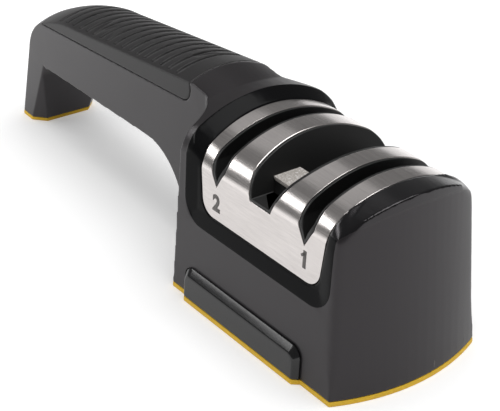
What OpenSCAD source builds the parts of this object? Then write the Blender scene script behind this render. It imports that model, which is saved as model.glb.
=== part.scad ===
// Pull-through knife sharpener with two sprung stages, a grit pad and a bridge handle.
// Millimetres, +Z up, +X towards the nose, resting on z = 0 with the origin under the middle.

/* [Block] */
// Length of the block's straight sides
block_len = 76; // [74:0.5:84]
// Width of the block at its rear, at the base
block_w = 60; // [58:0.5:68]
// Width of the block at the base where the nose begins
nose_w = 53.4; // [51:0.2:60]
// How far the curved nose stands out
nose_bulge = 5.9; // [4:0.1:8]
// Height of the block's crown
block_h = 62.2; // [61:0.2:68]
// Radius of the crown across the block
crown_r = 43; // [41:0.5:50]
// Radius of the shoulders between the crown and the sides
shoulder = 12.9; // [11:0.1:14]
// Radius of the shoulders between the steel and the nose
nose_shoulder = 9; // [8:0.1:10]
// Lean of the block's sides in degrees
side_draft = 3.4; // [2:0.1:4.5]
// Lean of the nose in degrees
nose_lean = 4.3; // [2:0.1:6]
// Lean of the block's rear face in degrees
rear_lean = 2.8; // [1:0.1:4]
// Wall thickness of the mouldings
wall = 2.6; // [2.2:0.1:3]
// Thickness of the non-slip pads
pad_t = 1.6; // [1.2:0.1:2.4]
// Thickness of the bottom plate
plate_t = 2.4; // [2:0.1:3.2]

/* [Handle] */
// Width of the handle
handle_w = 26.8; // [25:0.2:30]
// Radius of the crown across the handle
handle_crown_r = 32; // [28:0.5:40]
// Height of the handle's highest point
peak_h = 63.4; // [62.6:0.2:66]
// Distance from the block's rear corner back to the highest point
peak_back = 13; // [11:0.2:16]
// Length of the handle's straight top
top_len = 81.7; // [78:0.1:90]
// Fall of the straight top towards the rear in degrees
top_pitch = 6.2; // [5:0.1:7.5]
// Radius of the long curve behind the straight top
shoulder_r = 78.3; // [70:0.1:86]
// Slope where the long curve ends in degrees
shoulder_end = 25.7; // [24:0.1:30]
// Radius of the tight curve at the heel
heel_r = 22.1; // [20:0.1:25]
// Slope of the leg's rear face in degrees
leg_angle = 71.3; // [69:0.1:75]
// Length of the leg at the table
leg_t = 15.2; // [15:0.1:20]
// Lean of the leg's inner face in degrees
leg_lean = 18.6; // [16:0.2:22]
// Height of the finger gap at the leg
gap_h = 28.1; // [26:0.2:30]
// Rise of the finger gap towards the block in degrees
gap_pitch = 2.1; // [1:0.1:3]
// Fillet of the finger gap at the leg
gap_leg_r = 8; // [5:0.5:10]
// Fillet of the finger gap at the block
gap_block_r = 21; // [16:0.5:24]
// Length of the neck that joins the handle to the block's rear face
neck = 20; // [16:0.5:24]
// Fillet between the handle's sides and the block's rear face
flare_r = 10.5; // [8:0.5:12]
// Thickness of the strip that closes the handle
strip_t = 2.4; // [2:0.1:3]

/* [Grip pad] */
// Thickness of the grip pad
grip_t = 2.2; // [1.8:0.1:3]
// Depth of the pad's front end on the handle's flat sides
grip_skirt = 6.9; // [5:0.1:8]
// Fall of the pad's lower edge towards the rear in degrees
grip_pitch = 4.3; // [4:0.1:5]
// Radius of the pad's lower front corners
grip_r = 5; // [3:0.5:6]
// Number of grooves
groove_count = 17; // [9:1:17]
// Distance from groove to groove
groove_pitch = 5; // [4:0.1:5]
// Width of a groove
groove_w = 1.65; // [1:0.05:2]
// Depth of a groove
groove_depth = 1.1; // [0.6:0.1:1.4]
// Distance from the grip pad's front end to the first groove
groove_start = 9.6; // [8:0.1:12]
// Plain margin between the grooves' ends and the handle's sides
groove_margin = 1.6; // [1.2:0.1:3]

/* [Steel cover] */
// Thickness of the steel
steel_t = 0.8; // [0.6:0.1:1]
// How far the steel lies inside the block's sides
steel_inset = 0.9; // [0.7:0.1:1.4]
// How far the steel lies below the block's crown
steel_drop = 2.8; // [2:0.1:3.4]
// Depth of the steel's lower edge below its top
steel_deep = 27; // [25.4:0.2:28]
// Steel beyond the slot centres, on top
steel_end = 9; // [8.4:0.1:9.6]
// How much shorter each end is at the lower edge
steel_cut = 3; // [1:0.2:4]
// Radius of the steel's lower corners
steel_corner = 5.5; // [3:0.5:8]
// Width of the black frame round the steel
frame_w = 5; // [4:0.1:5.4]

/* [Slots] */
// Distance from the block's rear corner to the fine slot
slot_back = 19.6; // [19:0.1:22]
// Distance between the two slots
slot_pitch = 40; // [39:0.2:42]
// Width of a slot in the steel
slot_w = 6.5; // [6:0.1:7]
// Depth of a slot's lower tip below the steel's top
slot_deep = 16.6; // [15.6:0.1:17]
// Height of a slot's pointed end
slot_v = 5.7; // [4:0.1:7]
// Thickness of the lips that line the slots
lip_t = 0.8; // [0.6:0.1:1]
// Width of the centre opening at its floor
well_w = 9.1; // [8:0.1:10]
// Depth of the centre opening below the steel's top
well_deep = 13.9; // [12.8:0.1:15]
// Slope of the centre opening's sides in degrees
well_slope = 20.3; // [14:0.1:21]

/* [Grit pad] */
// Length of the grit plate across the block
grit_len = 9.4; // [8:0.1:12]
// Thickness of the grit plate
grit_t = 1.2; // [1:0.1:1.6]
// Depth of the grit plate's face below the steel's top
grit_deep = 8.8; // [8.4:0.1:10.4]
// Middle of the grit plate across the block
grit_y = -11.5; // [-13:0.1:-10]

/* [Plaques] */
// Height of a plaque over the pad
plaque_h = 10.3; // [8:0.1:12]
// How far a plaque stands out
plaque_out = 2; // [1.4:0.1:2.6]
// Width of a plaque's sloped top
plaque_slope = 2.6; // [1.5:0.1:3]
// Width of a plaque's sloped ends
plaque_end = 1.6; // [1:0.1:2]
// Radius of a plaque's upper corners
plaque_r = 4; // [3.2:0.1:5]

/* [Stages] */
// Distance of the arms' pins below the slots' tips
pin_deep = 18.8; // [18:0.1:20]
// Distance of each pin from the slot's middle plane
pin_off = 5.5; // [5:0.1:6]
// Diameter of a pin
pin_d = 3; // [2.4:0.1:3.2]
// Clearance of an arm's bore round its pin
pin_play = 0.05; // [0.02:0.01:0.08]
// Width of an arm
arm_w = 5; // [4.4:0.1:5.2]
// Tilt of each abrasive in degrees
abrasive_tilt = 20; // [16:0.5:22]
// Thickness of a coarse plate
plate_abr_t = 1.6; // [1.2:0.1:1.8]
// Diameter of a fine rod
rod_d = 3.2; // [2.6:0.1:3.4]
// Outer diameter of an arm spring
spring_d = 4; // [3.6:0.1:4.2]
// Wire of an arm spring
wire_d = 0.6; // [0.4:0.05:0.7]

/* [Screws] */
// Diameter of the screws
screw_d = 2.9; // [2.5:0.1:3]
// Diameter of the screw heads
head_d = 5.6; // [5:0.1:6]
// Height of the screw heads
head_t = 1.4; // [1.2:0.1:1.6]
// Length of the handle's screws
strip_screw = 11; // [9:0.5:12]
// Distance of the handle's screws from the ends of the strip
strip_in = 9; // [7:0.5:12]
// Height of the base screws' posts over the bottom plate
post_h = 16; // [12:0.5:18]

/* [Fits] */
// Gap between mouldings that fit together
fit = 0.1; // [0.05:0.01:0.2]
// Gap round the steel cover
steel_gap = 0.25; // [0.1:0.05:0.4]
// Gap between moving arms and what stands beside them
run_gap = 0.8; // [0.4:0.1:1]

/* [Hidden] */
$fn = 64;
reach = 120;
taper = atan((block_w - nose_w) / 2 / block_len);
nose_r = (nose_w * nose_w / 4 + nose_bulge * nose_bulge) / (2 * nose_bulge);
nose_tip = block_len + nose_bulge;
plate_top = pad_t + plate_t;

function dir(a) = [-cos(a), -sin(a)];
function nrm(a) = [-sin(a), cos(a)];
peak = [-peak_back, peak_h];
run_in = 30;
top_start = peak - run_in * dir(top_pitch);
top_end = peak + top_len * dir(top_pitch);
shoulder_c = top_end - shoulder_r * nrm(top_pitch);
shoulder_p = shoulder_c + shoulder_r * nrm(shoulder_end);
heel_c = shoulder_p - heel_r * nrm(shoulder_end);
heel_p = heel_c + heel_r * nrm(leg_angle);
leg_run = heel_p.y / sin(leg_angle);
foot_x = heel_p.x - heel_p.y / tan(leg_angle);
rear_x = -(foot_x + nose_tip + pad_t * tan(nose_lean)) / 2;
section_depth = heel_r - 1.1;
// Each length of the handle runs into the next at a slight angle
lap = 0.1;
crown_edge = handle_crown_r - sqrt(handle_crown_r * handle_crown_r - handle_w * handle_w / 4);

leg_in = foot_x + leg_t;
gap_b = [leg_in + gap_h * tan(leg_lean), gap_h];
function gap_z(x) = gap_h + (x - gap_b.x) * tan(gap_pitch);
gap_c_z = (gap_h - (neck + gap_b.x) * tan(gap_pitch)) / (1 - tan(rear_lean) * tan(gap_pitch));
gap_c = [gap_c_z * tan(rear_lean) - neck, gap_c_z];
strip_a = gap_b.x + 13;
strip_b = gap_c.x - 1.1 * gap_block_r - 1.5;
strip_w = handle_w - 6;

crown_axis = block_h - crown_r;
crown_fall = 0.055;
steel_r = crown_r - steel_drop;
steel_top = crown_axis + steel_r;
steel_low = steel_top - steel_deep;
slot_tip = steel_top - slot_deep;
well_low = steel_top - well_deep;
grit_top = steel_top - grit_deep;
pin_z = slot_tip - pin_deep;
slot_fine = slot_back;
slot_coarse = slot_back + slot_pitch;
well_x = slot_back + slot_pitch / 2 + 0.4;
steel_a = slot_fine - steel_end;
steel_b = slot_coarse + steel_end + 0.8;
function steel_run(z) = steel_cut * (steel_top - z) / (steel_top - steel_low);
bezel_a = steel_a - frame_w;
bezel_b = steel_b + 3;
bezel_low = steel_low - frame_w - 0.2;
split_z = block_h - 11.7;
split_slope = 0.9;
front_r = crown_r + 8;
front_axis = steel_top - 0.2 - front_r;
front_slope = 0.27;
panel_in = steel_inset + steel_t;
panel_t = 2.2;
void_in = panel_in + panel_t;

flare_y = handle_w / 2 - 0.4;
block_back = -39.6;
block_lean = 24;

cross_z = slot_tip + 2.2;
arm_y = run_gap / 2;
arm_out = arm_y + arm_w;
cheek_y = arm_out + run_gap;
cheek_t = 2.5;
stage_half = 14.5;
stage_wall = 1;
stage_base = plate_top + 3;
stage_high = pin_z + 11.5;
spring_z = pin_z + 8;
arm_back = pin_off + 2.7;
rib_low = slot_tip - 4.3;
pit_z = well_low - 3.5;
screw_r = screw_d / 2;
head_r = head_d / 2;
base_post_top = plate_top + post_h;
base_at = [[9, 0], [66, 0]];
strip_screws = [strip_a + strip_in, strip_b - strip_in];
stage_screws = [-10.6, 10.6];

// Shared shapes

module prism_y(h) {
  rotate([90, 0, 0]) linear_extrude(h, center = true) children();
}

module prism_x(x0, len) {
  translate([x0, 0, 0]) rotate([90, 0, 90]) linear_extrude(len) children();
}

module at_block() {
  translate([rear_x, 0, 0]) children();
}

module both_sides() {
  children();
  mirror([0, 1, 0]) children();
}

// Points of an arc of radius r that rounds the corner b between a and c
function round_corner(a, b, c, r, n = 10) =
  let (u = (a - b) / norm(a - b), v = (c - b) / norm(c - b), h = acos(u * v) / 2)
  let (o = b + (u + v) / norm(u + v) * r / sin(h), p = b + u * r / tan(h), q = b + v * r / tan(h))
  let (a0 = atan2(p.y - o.y, p.x - o.x), a1 = atan2(q.y - o.y, q.x - o.x))
  let (da = (a1 - a0 + 540) % 360 - 180)
  [for (i = [0:n]) o + r * [cos(a0 + da * i / n), sin(a0 + da * i / n)]];

// Outer half-width of the block
function wall_y(x, z) = block_w / 2 - x * tan(taper) - (z - pad_t) * tan(side_draft) / cos(taper);

// Everything inside one side wall, turned about the point (px, pz) of that wall
module wall_side(inset, toe, tip, px, pz) {
  translate([px, wall_y(px, pz) - inset, pz]) rotate([0, 0, -taper - toe])
    rotate([side_draft + tip, 0, 0]) translate([-reach, -reach, -reach])
      cube([2 * reach, reach, 2 * reach]);
}

module wedge(inset, toe = 0, tip = 0, px = 0, pz = pad_t) {
  intersection() {
    wall_side(inset, toe, tip, px, pz);
    mirror([0, 1, 0]) wall_side(inset, toe, tip, px, pz);
  }
}

module nose_form(inset) {
  translate([nose_tip - nose_r / cos(nose_lean), 0, pad_t]) rotate([0, -nose_lean, 0])
    cylinder(h = 2 * reach, r = nose_r - inset, center = true, $fn = 128);
}

module along_x(axis_z) {
  translate([0, 0, axis_z]) rotate([0, 90, 0]) rotate_extrude($fn = 96) children();
}

module crown_form(inset) {
  along_x(crown_axis) polygon([
    [0, -60], [crown_r - inset - (bezel_a + 60) * crown_fall, -60], [crown_r - inset, bezel_a],
    [crown_r - inset, 100], [0, 100]
  ]);
}

module rear_space(inset) {
  translate([inset, 0, 0]) rotate([0, rear_lean, 0]) translate([0, -reach, -reach])
    cube([2 * reach, 2 * reach, 2 * reach]);
}

// Middle of a rounding of radius f at x, between a crown of radius r about an axis and a side wall
function round_at(x, inset, axis_z, r, f) =
  let (s = tan(side_draft) / cos(taper), q = r - f)
  let (w = wall_y(x, axis_z) - inset - f / cos(side_draft))
  let (h = (w * s + sqrt(w * w * s * s - (1 + s * s) * (w * w - q * q))) / (1 + s * s))
  [x, w - s * h, axis_z + h];

// What the rounding takes off both shoulders, along the line from p to q
module shoulder_cut(p, q, f0, f1, axis_z, back, fore) {
  d = q - p;
  grow = (f1 - f0) / norm(d);
  ease = 0.12;
  span = 40;
  tilt = atan2(p.z - axis_z, p.y);
  both_sides() translate(p) rotate([0, -asin(d.z / norm(d)), atan2(d.y, d.x)]) difference() {
    prism_x(-back, back + fore) polygon([
      [0, 0], span * [cos(side_draft), sin(side_draft)], span * [1, 1], span * [cos(tilt), sin(tilt)]
    ]);
    translate([-back - 1, 0, 0]) rotate([0, 90, 0])
      cylinder(h = back + fore + 2, r1 = f0 - grow * (back + 1) + ease, r2 = f0 + grow * (fore + 1) + ease);
  }
}

// Shoulders that run along the whole block
module long_shoulders(inset, r) {
  f = shoulder - inset;
  shoulder_cut(round_at(0, inset, crown_axis, r, f), round_at(block_len, inset, crown_axis, r, f),
    f, f, crown_axis, 60, reach);
}

module slab(z0, z1) {
  translate([-2 * reach, -reach, z0]) cube([4 * reach, 2 * reach, z1 - z0]);
}

module between_sides(w) {
  intersection() {
    union() children();
    translate([-2 * reach, -w / 2, -reach]) cube([4 * reach, w, 3 * reach]);
  }
}

module block_form(inset) {
  difference() {
    intersection() {
      wedge(inset);
      nose_form(inset);
      crown_form(inset);
    }
    long_shoulders(inset, crown_r - inset);
  }
}

module steel_form(inset) {
  r = steel_r + steel_inset - inset;
  difference() {
    intersection() {
      wedge(inset);
      along_x(crown_axis) translate([0, -60]) square([r, 180]);
    }
    long_shoulders(inset, r);
  }
}

// Handle, swept along its top line

module crown_section(out, depth = section_depth) {
  intersection() {
    translate([out - handle_crown_r, 0]) circle(handle_crown_r);
    translate([-depth, -handle_crown_r]) square([depth + out, 2 * handle_crown_r]);
  }
}

module spine_bar(p, a, len) {
  translate([p.x, 0, p.y]) rotate([0, -90 - a, 0]) linear_extrude(len) children();
}

module spine_arc(c, r, a0, a1) {
  translate([c.x, 0, c.y]) rotate([90, 0, 0]) rotate([0, 0, 90 + a0])
    rotate_extrude(angle = a1 - a0, $fn = 96) translate([r, 0]) children();
}

function inside_arc(c, r, a0, a1) = [for (i = [0:4]) c + r * nrm(a0 + (a1 - a0) * i / 4)];

core_depth = crown_edge + 3;
core_points = concat(
  [[12, -1], [12, 48], peak - core_depth * nrm(top_pitch)],
  inside_arc(shoulder_c, shoulder_r - core_depth, top_pitch, shoulder_end),
  inside_arc(heel_c, heel_r - core_depth, shoulder_end, leg_angle),
  [[heel_p.x - core_depth * nrm(leg_angle).x - (heel_p.y + 4) / tan(leg_angle), -1]]
);

gap_points = concat(
  [[leg_in - tan(leg_lean), -1]],
  round_corner([leg_in, 0], gap_b, gap_c, gap_leg_r),
  round_corner(gap_b, gap_c, [-neck, 0], gap_block_r),
  [[-neck - tan(rear_lean), -1]]
);

module gap_cut() {
  prism_y(2 * reach) polygon(gap_points);
}

// The block's crown takes over here from the handle's
module roof_cut() {
  roof_r = (handle_crown_r + crown_r) / 2;
  translate([peak.x, 0, peak.y]) rotate([0, 7, 0]) difference() {
    translate([-14, -40, -20]) cube([94, 80, 60]);
    translate([-20, 0, -roof_r]) rotate([0, 90, 0]) cylinder(h = 110, r = roof_r);
  }
}

module leg_corners() {
  edge = handle_w / 2;
  both_sides() translate([leg_in, 0, 0]) rotate([0, leg_lean + 9, 0])
    linear_extrude(60, center = true)
      polygon([[-5.4, edge + 1], [1, edge - 5.4], [4, edge - 5.4], [4, edge + 1]]);
}

module leg_bar() {
  spine_bar(heel_p, leg_angle, leg_run + 6) crown_section(lap);
}

module handle_body() {
  difference() {
    between_sides(handle_w) {
      spine_bar(top_start, top_pitch, top_len + run_in) crown_section(0);
      spine_arc(shoulder_c, shoulder_r, top_pitch - 7, shoulder_end) crown_section(lap);
      spine_arc(heel_c, heel_r, shoulder_end - 15, leg_angle + 12) crown_section(2 * lap);
      leg_bar();
      prism_y(handle_w + 8) polygon(core_points);
    }
    roof_cut();
    leg_corners();
  }
}

// What lies behind the block's leaning rear face, up to the fillet at the handle
module flare_cut() {
  mid = flare_r - 0.15;
  rotate([0, rear_lean, 0]) intersection() {
    union() {
      translate([-mid, flare_y + flare_r, -reach]) cylinder(h = 2 * reach, r = flare_r, $fn = 96);
      translate([-2 * reach, flare_y + flare_r - 1, -reach]) cube([3 * reach, reach, 2 * reach]);
      translate([-2 * reach, flare_y + 0.2, -reach]) cube([2 * reach - mid, reach, 2 * reach]);
    }
    translate([-3 * reach, -reach, -2 * reach]) cube([3 * reach, 3 * reach, 4 * reach]);
  }
}

module block_body() {
  difference() {
    intersection() {
      block_form(0);
      translate([block_back, 0, 31]) rotate([0, block_lean, 0]) translate([0, -reach, -reach])
        cube([2 * reach, 2 * reach, 2 * reach]);
    }
    both_sides() flare_cut();
  }
}

// Grip pad, in the same sweep

grip_arc = 17;
grip_front = peak + dir(top_pitch);
grip_depth = crown_edge + grip_skirt;

// Outline of the pad in side view, with a gap round it
function grip_points(g) =
  let (front = grip_front - g * dir(top_pitch), up = nrm(top_pitch))
  let (corner = front - (grip_depth + g) * up, back = corner + reach * dir(grip_pitch))
  concat([back], round_corner(back, corner, front + 20 * up, grip_r), [front + 20 * up, back + [0, reach]]);

module grip_sweep(r, depth, on) {
  spine_bar(peak - 4 * dir(top_pitch), top_pitch, top_len + 4) grip_section(r, depth, 0);
  spine_arc(shoulder_c, shoulder_r, top_pitch - 5, top_pitch + grip_arc + on)
    grip_section(r, depth, lap);
}

module grip_section(r, depth, out) {
  intersection() {
    translate([out - handle_crown_r, 0]) circle(r);
    translate([-depth, -r]) square([depth + out + 1, 2 * r]);
  }
}

module grip_form(gap) {
  difference() {
    intersection() {
      between_sides(handle_w + 2 * gap) grip_sweep(handle_crown_r + gap, grip_depth + 4, gap);
      prism_y(2 * reach) polygon(grip_points(gap));
    }
    between_sides(handle_w - 2 * grip_t - 2 * gap)
      grip_sweep(handle_crown_r - grip_t - gap, grip_depth + 6, gap + 2);
  }
}

// Point and slope of the handle's top line at a distance from the peak
function spine_at(s) = s < top_len
  ? concat(peak + s * dir(top_pitch), [top_pitch])
  : let (a = top_pitch + (s - top_len) / shoulder_r * 180 / PI)
    concat(shoulder_c + shoulder_r * nrm(a), [a]);

module groove_section() {
  groove_r = handle_crown_r + 0.6;
  half = handle_w / 2 - groove_margin;
  difference() {
    translate([-2 * crown_edge, -half]) square([3 * crown_edge, 2 * half]);
    translate([-groove_depth - groove_r, 0]) circle(groove_r);
  }
}

module grooves() {
  for (i = [0:groove_count - 1]) {
    at = spine_at(1 + groove_start + i * groove_pitch - groove_w / 2);
    spine_bar([at.x, at.y], at.z, groove_w) groove_section();
  }
}

// Outlines in side view

function bezel_points(g) = concat(
  [[bezel_a - g, 95]],
  round_corner([bezel_a - g, 95], [bezel_a - g, bezel_low - g], [bezel_b + g, bezel_low - g], 8),
  round_corner([bezel_a - g, bezel_low - g], [bezel_b + g, bezel_low - g], [bezel_b + g, split_z], 8),
  [[bezel_b + g, split_z - 0.4 * g]],
  [[bezel_b + 1.35 * g + split_slope * (95 - split_z), 95]]
);

function steel_points(g) =
  let (tr = [steel_a + steel_run(95) - g, 95], tf = [steel_b - steel_run(95) + g, 95])
  let (lr = [steel_a + steel_run(steel_low - g) - g, steel_low - g])
  let (lf = [steel_b - steel_run(steel_low - g) + g, steel_low - g])
  concat([tr], round_corner(tr, lr, lf, steel_corner), round_corner(lr, lf, tf, steel_corner), [tf]);

module bezel_outline(g) {
  prism_y(2 * reach) polygon(bezel_points(g));
}

module slot_outline(xs, g, top = 95) {
  h = slot_w / 2 + g;
  low = slot_tip - g * 2;
  polygon([[xs - h, top], [xs - h, low + slot_v], [xs, low], [xs + h, low + slot_v], [xs + h, top]]);
}

module well_outline(g, top = 95) {
  low = well_low - g;
  h = well_w / 2 + g * 0.7;
  w = h + (top - low) * tan(well_slope);
  polygon([[well_x - w, top], [well_x - h, low], [well_x + h, low], [well_x + w, top]]);
}

module openings(g) {
  prism_y(2 * reach) {
    slot_outline(slot_fine, g);
    slot_outline(slot_coarse, g);
    well_outline(g);
  }
}

// Housing

module block_cavity() {
  intersection() {
    block_form(wall);
    rear_space(wall);
    slab(-1, 90);
  }
}

function post_y(x) = wall_y(x, base_post_top) - wall - 2.4;

module at_base_screws() {
  both_sides() for (p = base_at) translate([p.x, post_y(p.x), 0]) children();
}

module at_strip_screws() {
  for (x = strip_screws) translate([x, 0, 0]) children();
}

module strip_form(g) {
  x0 = strip_a - g;
  x1 = strip_b + g;
  prism_y(strip_w + 2 * g) polygon([
    [x0, gap_z(x0) - 3], [x1, gap_z(x1) - 3], [x1, gap_z(x1) + strip_t], [x0, gap_z(x0) + strip_t]
  ]);
}

module handle_hollow() {
  x0 = strip_a + 1.5;
  x1 = strip_b - 1.5;
  difference() {
    prism_y(strip_w - 3) polygon([
      [x0, gap_z(x0) + 1], [x1, gap_z(x1) + 1], [x1, gap_z(x1) + 15], [x0, gap_z(x0) + 11]
    ]);
    at_strip_screws() cylinder(h = reach, r = head_r + 0.4, $fn = 32);
  }
}

module leg_hollow() {
  x_in = leg_in - 3.2;
  x_out = foot_x + crown_edge + 1.6;
  prism_y(handle_w - 10) polygon([
    [x_out - 1 / tan(leg_angle), -1], [x_in - tan(leg_lean), -1],
    [x_in + 18 * tan(leg_lean), 18], [x_out + 18 / tan(leg_angle), 18]
  ]);
}

module neck_hollow() {
  x_out = 3.2 - neck;
  prism_y(handle_w - 10) polygon([
    [x_out - tan(rear_lean), -1], [-2 - tan(rear_lean), -1],
    [-2 + 18 * tan(rear_lean), 18], [x_out + 18 * tan(rear_lean), 18]
  ]);
}

module main_housing() {
  color("dimgray") at_block() difference() {
    union() {
      difference() {
        union() {
          handle_body();
          block_body();
        }
        gap_cut();
        block_cavity();
        bezel_outline(fit);
        grip_form(fit);
        handle_hollow();
        leg_hollow();
        neck_hollow();
      }
      at_base_screws() translate([0, 0, plate_top])
        cylinder(h = base_post_top - plate_top, r = 3.4, $fn = 32);
    }
    slab(-reach, pad_t);
    strip_form(fit);
    at_base_screws() cylinder(h = base_post_top - 2, r = screw_r + fit / 2, $fn = 24);
    for (x = strip_screws) translate([x, 0, 0])
      cylinder(h = gap_z(x) + strip_screw + 1, r = screw_r + fit / 2, $fn = 24);
  }
}

module handle_cover() {
  color("dimgray") at_block() difference() {
    strip_form(0);
    gap_cut();
    at_strip_screws() cylinder(h = reach, r = screw_r + fit / 2, $fn = 24);
    for (x = strip_screws) translate([x, 0, -1])
      cylinder(h = gap_z(x) + head_t + 1, r = head_r + fit, $fn = 32);
  }
}

module grip_pad() {
  color("gray") at_block() difference() {
    grip_form(0);
    grooves();
  }
}

// Black frame and steel

module rear_ramp() {
  fall = steel_drop / frame_w;
  difference() {
    intersection() {
      wedge(0, toe = atan(steel_inset / frame_w), px = bezel_a, pz = slot_tip);
      along_x(crown_axis) polygon([
        [0, bezel_a - 4], [crown_r + 4 * fall, bezel_a - 4], [crown_r - 30 * fall, bezel_a + 30],
        [0, bezel_a + 30]
      ]);
    }
    shoulder_cut(round_at(bezel_a, 0, crown_axis, crown_r, shoulder),
      round_at(steel_a, steel_inset, crown_axis, steel_r, shoulder - steel_inset),
      shoulder, shoulder - steel_inset, crown_axis, 6, 14);
  }
}

module front_ramp() {
  out_x = steel_b + frame_w;
  difference() {
    intersection() {
      wedge(0, toe = -atan(steel_inset / frame_w), px = bezel_b, pz = slot_tip);
      along_x(front_axis) polygon([
        [0, steel_b - 20], [front_r + 20 * front_slope, steel_b - 20],
        [front_r - 30 * front_slope, steel_b + 30], [0, steel_b + 30]
      ]);
      prism_y(2 * reach) polygon([
        [steel_b - steel_run(0), 0], [reach, 0], [reach, 95], [steel_b - steel_run(95), 95]
      ]);
    }
    shoulder_cut(round_at(steel_b, steel_inset, front_axis, front_r, nose_shoulder),
      round_at(out_x, 0, front_axis, front_r - frame_w * front_slope, nose_shoulder),
      nose_shoulder, nose_shoulder, front_axis, 14, 14);
  }
}

module low_ramp() {
  intersection() {
    wedge(0, tip = atan(steel_inset / frame_w), px = slot_back, pz = bezel_low);
    slab(0, steel_low + 1);
  }
}

module bezel_void() {
  intersection() {
    steel_form(void_in);
    prism_y(2 * reach) polygon([
      [-20, -1], [110, -1], [110, split_z - 4.5], [bezel_b - 2.4, split_z - 0.5],
      [bezel_b - 2.4, 95], [-20, 95]
    ]);
  }
}

module bezel_skirt() {
  intersection() {
    wedge(wall + fit);
    prism_y(2 * reach) translate([bezel_a + 4, bezel_low - 4]) square([bezel_b - bezel_a - 8, 10]);
  }
}

module bezel() {
  color("black") at_block() difference() {
    union() {
      intersection() {
        block_form(0);
        bezel_outline(0);
        union() {
          steel_form(steel_inset);
          rear_ramp();
          front_ramp();
          low_ramp();
        }
      }
      bezel_skirt();
    }
    difference() {
      prism_y(2 * reach) polygon(steel_points(steel_gap));
      steel_form(panel_in);
    }
    bezel_void();
    openings(0);
  }
}

module steel_cover() {
  color("silver") at_block() difference() {
    intersection() {
      steel_form(steel_inset);
      prism_y(2 * reach) polygon(steel_points(0));
    }
    steel_form(panel_in);
    openings(0);
  }
}

// Insert behind the slots

module insert_body() {
  intersection() {
    openings(-fit);
    steel_form(steel_inset + 0.15);
  }
  intersection() {
    prism_y(2 * reach) {
      for (xs = [slot_fine, slot_coarse])
        translate([xs - slot_w / 2 - 2.2, rib_low]) square([slot_w + 4.4, 50]);
      intersection() {
        well_outline(3);
        translate([well_x - 30, rib_low]) square([60, 50]);
      }
      translate([well_x - well_w / 2 - 2, rib_low]) square([well_w + 4, 10]);
    }
    steel_form(void_in + fit);
    slab(rib_low, 95);
  }
  both_sides() translate([slot_fine, cheek_y + cheek_t + 0.8, rib_low])
    cube([slot_pitch, 3.4, pit_z - rib_low]);
}

module well_pit() {
  h = well_w / 2 - lip_t;
  y = wall_y(well_x, pit_z) - void_in - 2.4;
  translate([well_x - h, -y, pit_z]) cube([2 * h, 2 * y, 12]);
}

module guide_insert() {
  color([0.12, 0.12, 0.12]) at_block() difference() {
    insert_body();
    openings(-lip_t - fit);
    well_pit();
    for (xs = [slot_fine, slot_coarse])
      translate([xs - 11, -cheek_y, 0]) cube([22, 2 * cheek_y, cross_z + 8.9]);
  }
}

module pad_holder() {
  near = grit_y - grit_len / 2;
  far = grit_y + grit_len / 2;
  low = grit_top - grit_t;
  color([0.15, 0.15, 0.15]) at_block() intersection() {
    prism_x(0, block_len) polygon([
      [near - 1.4, pit_z], [far + 0.6, pit_z], [far + 0.1, low], [near - 0.1, low],
      [near - 0.1, low - 1], [near - 1.4, low - 3.6]
    ]);
    union() {
      prism_y(2 * reach) well_outline(-lip_t - 2 * fit);
      translate([well_x - well_w / 2 + lip_t + fit, -reach, 0])
        cube([well_w - 2 * lip_t - 2 * fit, 2 * reach, well_low + 4]);
    }
  }
}

module grit_plate() {
  low = grit_top - grit_t;
  color("gray") at_block() translate([0, grit_y, 0]) prism_y(grit_len) intersection() {
    well_outline(-lip_t - 2 * fit);
    translate([0, low]) square([block_len, grit_t]);
  }
}

// Base and sides

plaque_a = slot_fine - 12.2;
plaque_b = slot_coarse + 3.8;

module at_side_wall() {
  translate([0, block_w / 2, pad_t]) rotate([0, 0, -taper]) rotate([side_draft, 0, 0]) children();
}

// Upright rounded outline of a plaque, one layer of it
module plaque_layer(y0, t, end, top, r) {
  a = plaque_a + end;
  b = plaque_b - end;
  h = plaque_h - top;
  translate([0, y0 + t, 0]) rotate([90, 0, 0]) linear_extrude(t) {
    translate([a + r, h - r]) circle(r, $fn = 32);
    translate([b - r, h - r]) circle(r, $fn = 32);
    translate([a, -pad_t]) square([b - a, h - r + pad_t]);
    translate([a + r, -pad_t]) square([b - a - 2 * r, h + pad_t]);
  }
}

module plaque_form() {
  intersection() {
    at_side_wall() hull() {
      plaque_layer(0, 0.2, 0, 0, plaque_r);
      plaque_layer(plaque_out - 0.2, 0.2, plaque_end, plaque_slope, plaque_r - plaque_end);
    }
    slab(pad_t, pad_t + 2 * plaque_h);
  }
}

module plaque_foot() {
  at_side_wall() translate([0, 0, -2 * pad_t]) linear_extrude(4 * pad_t) polygon([
    [plaque_a, -1], [plaque_a, 0.2], [plaque_a + plaque_end, plaque_out],
    [plaque_b - plaque_end, plaque_out], [plaque_b, 0.2], [plaque_b, -1]
  ]);
}

module side_plaque_left() {
  color([0.08, 0.08, 0.08]) at_block() plaque_form();
}

module side_plaque_right() {
  color([0.08, 0.08, 0.08]) at_block() mirror([0, 1, 0]) plaque_form();
}

module at_stage_screws() {
  for (xs = [slot_fine, slot_coarse]) for (x = stage_screws) translate([xs + x, 0, 0]) children();
}

module bottom_plate() {
  color([0.2, 0.2, 0.2]) at_block() difference() {
    intersection() {
      wedge(wall + fit);
      nose_form(wall + fit);
      rear_space(wall + fit);
      slab(pad_t, plate_top);
    }
    at_base_screws() cylinder(h = 20, r = screw_r + fit / 2, $fn = 24);
    at_stage_screws() cylinder(h = 20, r = screw_r + fit / 2, $fn = 24);
    at_base_screws() cylinder(h = pad_t + head_t, r = head_r + fit, $fn = 32);
    at_stage_screws() cylinder(h = pad_t + head_t, r = head_r + fit, $fn = 32);
  }
}

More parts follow.
